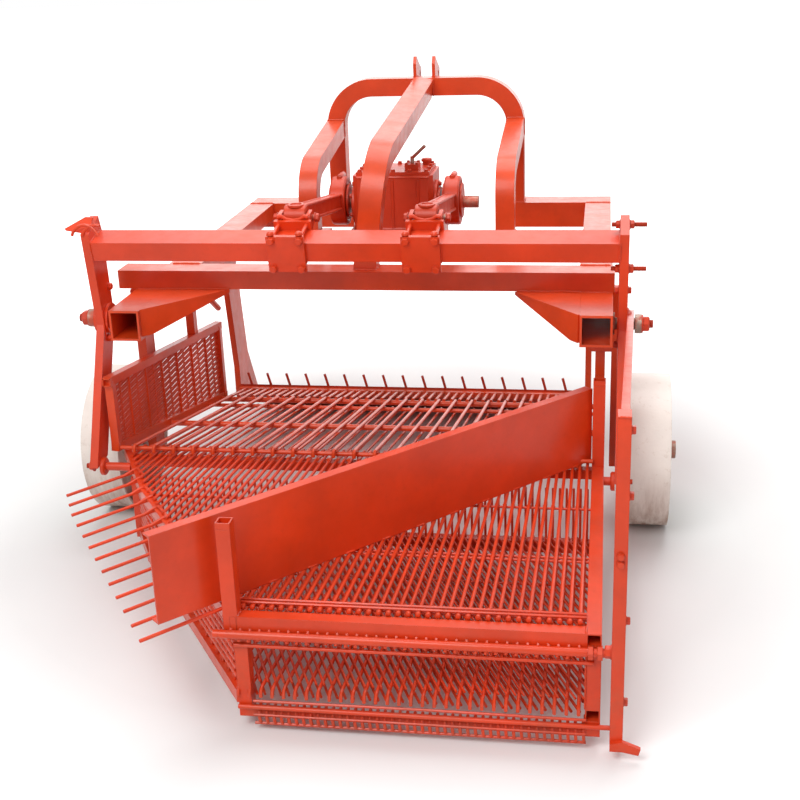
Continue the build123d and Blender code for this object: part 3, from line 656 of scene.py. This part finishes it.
def deck_details():
    forms = Forms("deck_hooks", "sieve", "sieve_paint")
    rear_y = -999.0
    swollen = [(-1.5, 2.5), (0, 5.5), (5, 6.2), (9, 5), (11, 4)]
    knot = [(0, 4), (3, 5.4), (7, 5.4), (10, 4)]
    rods = rod_ends(-160.0, rear_y, 18.2, 66)
    for rear, front, slope in rods:
        hook(forms, *front, DECK_TOP + BAR, 1, BAR, 9, random.uniform(8, 18))
        if rear[1] < rear_y + 1:
            # a swollen end just before the rear rail
            forms.turned(at(rear[0], rear_y, DECK_TOP + BAR), FRONT, swollen, 8)
            # and its tip, bent down behind the shaft
            x = rear[0] + slope * 40
            tip = at(x - 3, -1044, 212 + random.uniform(0, 4))
            forms.tube([at(x, -1031, 236), at(x - 1, -1041, 223), tip], BAR, 6)
    # binding bars over the deck
    for y in (-985, -972):
        forms.tube([at(x, y, DECK_TOP + 9) for x in (side_x(y) + 14, RIGHT_RAIL)], 3.2, 6)
    # a knot on each bar where one runs across below it
    for y in (-462, -712, -730):
        for rear, front, slope in rods:
            if rear[1] < y - 4:
                x = front[0] - (front[1] - y) * slope
                forms.turned(at(x, y - 5, DECK_TOP + 3), FRONT, knot, 6)
    forms.finish(50)


def lower_deck_details():
    forms = Forms("lower_hooks", "sieve", "sieve_paint")
    rear_y = -1018.0
    bend = ((rear_y, 4), (-1030, 2), (-1036, -4), (-1036, -12))
    for rear, front, _ in rod_ends(-282.0, rear_y, 22.0, 54):
        hook(forms, *front, LOW_TOP + BAR, 1, BAR, 7, 10)
        if rear[1] < rear_y + 1:
            forms.tube([at(rear[0], y, LOW_TOP + dz) for y, dz in bend], BAR, 6)
    # bumps and bent tips along the bottom
    for i in range(44):
        x = -108 + i * 15.4
        z = 30 + random.uniform(-2, 2)
        tip = ((x, -1016, 52), (x, -1030, 48), (x + 1, -1038, z + 4), (x + 2, -1036, z - 10))
        forms.tube([at(*p) for p in tip], 3.6, 6)
    # three thin bars across the rear opening
    left, right = -118, 560
    forms.tube([at(left, -1040, 40), at(right, -1040, 40)], 2.6, 6)
    forms.tube([at(left, -1034, 17), at(right, -1034, 17)], 3.2, 6)
    forms.tube([at(left, -1036, 70), at(250, -1036, 72), at(right, -1036, 70)], 3.0, 6)
    # more layers of bars cross the lower deck, one under it and a thinner one over it
    step = 4
    step_x = step * -0.45
    starts = [(x, -1012.0) for x in range(-116, 552, 17)]
    starts += [(553, y) for y in range(-975, -320, 38)]
    for x, y in starts:
        x1, y1 = x, y
        while y1 < -300 and x1 > side_x(y1) + 12:
            y1 += step
            x1 += step_x
        if y1 - y > 40:
            forms.tube([at(x, y, 72), at(x1, y1, 72)], 3.2, 6)
            forms.tube([at(x + 8, y, 102.8), at(x1 + 8, y1, 102.8)], 2.6, 5)
    # uprights along the front and the left side of the lower sieve
    low, high = 90, 234
    x = side_x(-288) + 12
    while x < RIGHT_RAIL:
        forms.tube([at(x, -287, low), at(x, -287, high)], 3.4, 6)
        x += 17
    for x in range(-540, -160, 22):
        y = side_y_at(x)
        forms.tube([at(x, y, low), at(x, y, high)], 3.0, 6)
    forms.finish(50)


def finger_details():
    forms = Forms("finger_bends", "sieve", "sieve_paint")
    first_y, pitch, count = -310.0, 56.0, 13
    roots = [(side_x(y), y) for y in (first_y - i * pitch for i in range(count))]
    # each two fingers are one bar, bent round on the deck's side
    for pair in zip(roots[::2], roots[1::2]):
        inward = Vector((0.82, -0.57, 0)) if pair[0][1] < SIDE[1][1] else Vector((0.88, -0.46, 0))
        crown = Vector((*between(*pair, 0.5), 264)) + inward * 16
        halves = []
        for x, y in pair:
            bend = Vector((x, y, 266)) + inward * 6
            halves.append([at(x - 30, y - 21, 250), at(x - 6, y - 5, 262), at(*bend)])
        forms.tube(halves[0] + [at(*crown)] + halves[1][::-1], BAR, 8)
    for x, y in roots:
        tip = at(x - 152, y - 104, 228)
        forms.turned(tip, (-0.815, -0.557, -0.15), [(-6, 4.2), (-1, 4.2), (1.2, 3)], 8)
    forms.finish(50)


def wall_details():
    forms = Forms("wall_slats", "frame", "frame_paint")
    # heights at a wall's rear end: the foot rail and the top rail fall to the front, the slats climb
    foot, foot_fall = 284, 78
    top, top_fall = 470, 39
    slat, slat_pitch, slat_climb = 119.75, 15.5, 106
    uprights = 14
    for rear, front in (((-695.0, -212), (-593.6, 414)), ((572, -128), (572, 414))):
        for i in range(23):
            low = slat + i * slat_pitch
            start = max(0.0, (foot - low) / (slat_climb + foot_fall))
            stop = min(1.0, (top - low) / (slat_climb + top_fall))
            if stop - start > 0.05:
                ends = [at(*between(rear, front, t), low + t * slat_climb) for t in (start, stop)]
                forms.tube(ends, 3, 6)
        for i in range(1, uprights):
            t = i / uprights
            x, y = between(rear, front, t)
            forms.tube([at(x, y, foot - foot_fall * t), at(x, y, top - top_fall * t)], 3.4, 6)
    # the open rear end of the left wall's top rail
    x, y, z = -695.0, -223, 470
    for dx, dz, w, h in ((-10, 0, 1.5, 11), (10, 0, 1.5, 11), (0, -10, 11, 1.5), (0, 10, 11, 1.5)):
        forms.block(at(x + dx - w, y - 12, z + dz - h), at(x + dx + w, y, z + dz + h))
    forms.finish(50)


def grate_details():
    forms = Forms("front_grate_bars", "frame", "frame_paint")
    front_y, rear_y = 380, -232
    reach = front_y - rear_y
    # a second layer of bars, which climbs to the rear under the frame's own
    foot_y, foot_z, climb = 560, 164, 106 / 792
    for i in range(44):
        x = -544 + i * 24.8
        shift = reach * fan_slope(x)
        bar = []
        for y, share in ((front_y, 0), (74, 0.5), (rear_y, 1)):
            bar.append(at(x - share * shift, y, foot_z + (foot_y - y) * climb))
        forms.tube(bar, BAR, 6)
    for i in range(22):
        x = -556 + i * 50.0
        hook(forms, x - reach * fan_slope(x), rear_y, 296, -1, 5, 8, 8)
    # three bars across, their left ends on the slanting wall
    for y, z in ((-215, 282), (60, 246), (300, 214)):
        forms.tube([at(-690 + (y + 200) * 0.165, y, z), at(560, y, z - 3)], 6, 8)
    forms.finish(50)


def frame_welds():
    forms = Forms("frame_welds", "frame", "frame_paint")
    top = BEAM_TOP
    # the side tubes between the rear beam and the front member
    for x0, x1 in SIDE_TUBES:
        for y in (80, 900):
            forms.weld(at(x0, y, top), at(x1, y, top), 3.5)
    # the cross member between the side tubes
    for x in (-515, 515):
        for y in (440, 500):
            forms.weld(at(x, y, 662), at(x, y, 708), 3)
        forms.weld(at(x, 440, top), at(x, 500, top), 3)
    # feet of the struts and of the arch, and the struts' upper ends
    for x0, x1 in STRUTS:
        for y0, y1 in ((445, 498), (905, 965)):
            for x in (x0, x1):
                forms.weld(at(x, y0, top), at(x, y1, top), 3.5)
            forms.weld(at(x0, y0, top), at(x1, y0, top), 3.5)
        for x in (x0, x1):
            forms.weld(at(x, 905, 926), at(x, 905, 980), 3)
        forms.weld(at(x0, 905, 981), at(x1, 905, 981), 3)
    # the centre strut's foot and head
    forms.weld(at(-78, 20, top), at(-18, 20, top), 3.5)
    for x in (-78, -18):
        forms.weld(at(x, 20, top), at(x, 80, top), 3.5)
    for x in (-30, 30):
        forms.weld(at(x, 904, 1052), at(x, 904, 1105), 3)
    # the arch, where its bent head meets the legs
    for x0, x1 in STRUTS:
        forms.weld(at(x0, 904, 958), at(x1, 904, 958), 2.6)
    # ears, tail tubes, wheel legs, gussets
    for x in (-35, -25, 25, 35):
        forms.weld(at(x, 930, 1109), at(x, 963, 1109), 3)
    for x0, x1 in TAILS:
        forms.weld(at(x0, -1, 659), at(x1, -1, 659), 3)
        forms.weld(at(x0, -1, 582), at(x0, -1, 655), 2.5)
    for x in (-700, 626):
        forms.weld(at(x, 24, 200), at(x, 24, 230), 3)
    for x0, x1 in ((-594, -415), (520, 355)):
        forms.weld(at(x0, -2, 661), at(x1, -2, 661), 2.6)
    # cross beam ends and hangers
    for x in (-634, -610, 560, 584):
        forms.weld(at(x, 255, 578), at(x, 285, 578), 2.6)
    for x in (560, 584):
        forms.weld(at(x, -140, 578), at(x, -116, 578), 2.6)
    forms.finish(50)


def frame_details():
    forms = Forms("frame_fasteners", "frame", "frame_paint")
    # bolts of the blade legs and the wheel legs
    for x, out in ((-593, LEFT), (545, RIGHT)):
        for y, z in ((520, 630), (560, 630), (520, 590), (560, 590)):
            forms.bolt(at(x, y, z), out, 11, 9)
    for x, out in ((-700, LEFT), (626, RIGHT)):
        for y, z in ((42, 640), (76, 640), (42, 600), (76, 600)):
            forms.bolt(at(x, y, z), out, 10, 8)
    # two rows of bolts along the blade, square to its slope
    for i in range(9):
        for y, z in ((690, 122), (800, 62)):
            forms.bolt(at(-540 + i * 129, y, z), (0, 0.48, 0.88), 11, 6)
    # the bracket under the right tail tube and the brace behind the left hanger
    forms.block(at(545, -150, 548), at(600, -100, 580))
    forms.tube([at(-622, 250, 640), at(-600, 470, 470)], 9, 10)
    # a foot beside the left strut
    forms.block(at(-262, 452, 710), at(-232, 492, 718))
    forms.finish(32)

    # the rim of each tail tube's open end: below, above, left and right
    forms = Forms("tube_mouths", "frame", "frame_paint")
    low, high, wall = 580, 660, 6
    for x0, x1 in TAILS:
        for left, bottom, right, top in (
            (x0, low, x1, low + wall),
            (x0, high - wall, x1, high),
            (x0, low + wall, x0 + wall, high - wall),
            (x1 - wall, low + wall, x1, high - wall),
        ):
            forms.block(at(left, -217, bottom), at(right, -214, top))
    forms.finish(32)


def wheel_details():
    for name, x0 in (("wheel_left", -778.0), ("wheel_right", 704.0)):
        forms = Forms(name + "_rims", name, "wheel_paint")
        for side in (-1, 1):
            # the drum's rolled edge and the bead between drum and disc
            disc = x0 + side * 5
            for x, radius, thick, count, sides in (
                (x0 + side * 50, 202, 3.0, 72, 8),
                (disc, 197, 3.5, 60, 6),
            ):
                ring = circle(HUB, radius, count)
                forms.tube([at(x, *p) for p in ring + ring[:1]], thick, sides)
            # the hub's flange with its bolts and short beads
            axis = (side, 0, 0)
            forms.turned(at(disc, *HUB), axis, [(0, 62), (4, 62), (6, 58), (6, 34)], 40)
            for place in circle(HUB, 48, 6, 20):
                forms.bolt(at(x0 + side * 11, *place), axis, 8, 6)
            x = x0 + side * 6
            for start, end in zip(circle(HUB, 62, 6), circle(HUB, 70, 6)):
                forms.weld(at(x, *start), at(x, *end), 2.4)
        forms.finish(40)
    forms = Forms("axle_ends", "frame", "bare_steel")
    for x, inward in ((-852, RIGHT), (778, LEFT)):
        forms.turned(at(x, *HUB), inward, [(0.2, 14), (1, 20), (3, 24.5), (10, 24.5)], 24)
    forms.finish(32)


def rear_details():
    forms = Forms("rear_fasteners", "sieve", "sieve_paint")
    # the long bar at the right: plug bolts, the shaft's end, and two bolts and a bead on its rear
    bar_left, bar_right, bar_rear = 606, 631, -1061
    for z in (690, 560, 300, 120):
        forms.bolt(at(bar_right, -1040, z), RIGHT, 9, 7)
    forms.bolt(at(bar_left, -1041, 230), LEFT, 14, 11)
    threaded(forms, at(bar_left, -1041, 230), LEFT, 11, 7, 10)
    for z in (430, 446):
        forms.bolt(at(618, bar_rear, z), REAR, 8, 7)
    forms.weld(at(bar_left, bar_rear - 1, 722), at(bar_right, bar_rear - 1, 722), 2.5)
    # shaft nuts by the right corner post, and the left end of the shaft
    for x in (560, 578):
        forms.turned(at(x, *REAR_SHAFT), RIGHT, [(0, 9), (1, 15), (11, 15), (12, 9)], 6)
    forms.turned(at(-176, *REAR_SHAFT), LEFT, [(0, 9), (12, 9), (14, 7)], 12)
    # lower pivots: a boss on each lever's inner face, a bolt on its outer one
    for _, inner, _, into in (LEFT_LEVER, RIGHT_LEVER):
        forms.turned(at(inner, *LOWER_PIVOT), into, [(0, 24), (8, 24), (11, 20)], 24)
    for outer, _, out, _ in (LEFT_LEVER, RIGHT_LEVER):
        forms.bolt(at(outer, *LOWER_PIVOT), out, 14, 11)
        threaded(forms, at(outer, *LOWER_PIVOT), out, 11.5, 7, 10)
    # beads at the corners of the sieve frames and the posts
    for z in (262, 232, 92, 62):
        forms.weld(at(RIGHT_RAIL, -1031, z), at(RIGHT_RAIL, -1003, z), 2.6)
    for x in (-168, -138):
        forms.weld(at(x, -1032, 262), at(x, -1002, 262), 2.6)
    for z0, z1 in ((94, 228), (34, 60)):
        forms.weld(at(RIGHT_RAIL, -1033, z0), at(RIGHT_RAIL, -1033, z1), 2.2)
    # open tops of the deflector's posts
    wall, rise = 3, 14
    for x0, x1, y0, y1, z in ((-168, -138, -1032, -1002, 455), (557, 587, -210, -185, 477)):
        for left, rear, right, front in (
            (x0, y0, x1, y0 + wall),
            (x0, y1 - wall, x1, y1),
            (x0, y0 + wall, x0 + wall, y1 - wall),
            (x1 - wall, y0 + wall, x1, y1 - wall),
        ):
            forms.block(at(left, rear, z), at(right, front, z + rise))
    # a broken bead along the deflector's foot, where that lies on the deck
    step = Vector((0.681, 0.732, 0))
    tip = Vector((-282, -1092, 272))
    for i in range(12):
        p = tip + step * (60 + i * 100)
        q = tip + step * (85 + i * 100)
        if side_x(p.y) < p.x and q.x < 540:
            forms.weld(at(*p), at(*q), 2.6)
    forms.finish(32)


# Floor, light and world

FLOOR_HALF = 30
WORLD_LIGHT = 0.34
WORLD_SEEN = 1.0
LAMP_AIM = (0, 0, 0.4)
# each lamp's name, place, size in metres and power in watts
LAMPS = (
    ("key", (-1.0, -3.4, 3.6), 2.2, 115),
    ("fill", (3.4, -2.4, 2.0), 3.0, 22),
    ("top", (0.2, 1.0, 4.6), 3.2, 125),
    ("sky", (0.2, 5.6, 2.7), 6.0, 105),
)


def make_stage():
    half = FLOOR_HALF
    mesh = bpy.data.meshes.new("floor")
    corners = [(-half, -half, 0), (half, -half, 0), (half, half, 0), (-half, half, 0)]
    mesh.from_pydata(corners, [], [(0, 1, 2, 3)])
    floor = bpy.data.objects.new("floor", mesh)
    bpy.context.scene.collection.objects.link(floor)
    s = Shader("floor_pale")
    s.bsdf.inputs["Roughness"].default_value = 0.9
    s.bsdf.inputs["Specular IOR Level"].default_value = 0.1
    grain = s.noise(3, 3, 0.5)
    s.join(s.mix(grain, (0.80, 0.80, 0.80, 1), (0.84, 0.84, 0.83, 1)), s.bsdf.inputs["Base Color"])
    # the floor brightens away from the machine, into the white behind it
    far = s.node("ShaderNodeVectorMath", operation="LENGTH")
    s.join(s.place, far.inputs[0])
    brighter = s.range(far.outputs["Value"], 1.0, 2.8, 0.0, 0.9)
    glow = s.node("ShaderNodeLightPath").outputs["Is Camera Ray"]
    s.bsdf.inputs["Emission Color"].default_value = WHITE
    s.join(s.math("MULTIPLY", glow, brighter), s.bsdf.inputs["Emission Strength"])
    mesh.materials.append(s.material)


def make_light():
    """A white world, full where it is seen or mirrored and dim as a light, and four area lamps."""
    world = bpy.data.worlds.new("studio")
    bpy.context.scene.world = world
    world.use_nodes = True
    tree = world.node_tree
    back = tree.nodes["Background"]
    back.inputs["Color"].default_value = WHITE
    path = tree.nodes.new("ShaderNodeLightPath")
    seen = tree.nodes.new("ShaderNodeMath")
    seen.operation = "MAXIMUM"
    tree.links.new(path.outputs["Is Camera Ray"], seen.inputs[0])
    tree.links.new(path.outputs["Is Glossy Ray"], seen.inputs[1])
    strength = tree.nodes.new("ShaderNodeMapRange")
    strength.inputs["To Min"].default_value = WORLD_LIGHT
    strength.inputs["To Max"].default_value = WORLD_SEEN
    tree.links.new(seen.outputs["Value"], strength.inputs["Value"])
    tree.links.new(strength.outputs["Result"], back.inputs["Strength"])
    for name, place, size, power in LAMPS:
        lamp = bpy.data.objects.new(name, bpy.data.lights.new(name, "AREA"))
        bpy.context.scene.collection.objects.link(lamp)
        lamp.data.size = size
        lamp.data.energy = power
        lamp.location = place
        toward = Vector(LAMP_AIM) - Vector(place)
        lamp.rotation_euler = toward.to_track_quat("-Z", "Y").to_euler()


clamp_details()
gearbox_details()
rod_details()
lever_details()
deck_details()
lower_deck_details()
finger_details()
wall_details()
grate_details()
frame_welds()
frame_details()
wheel_details()
rear_details()
make_camera()
make_stage()
make_light()
bpy.context.scene.view_settings.view_transform = "Standard"
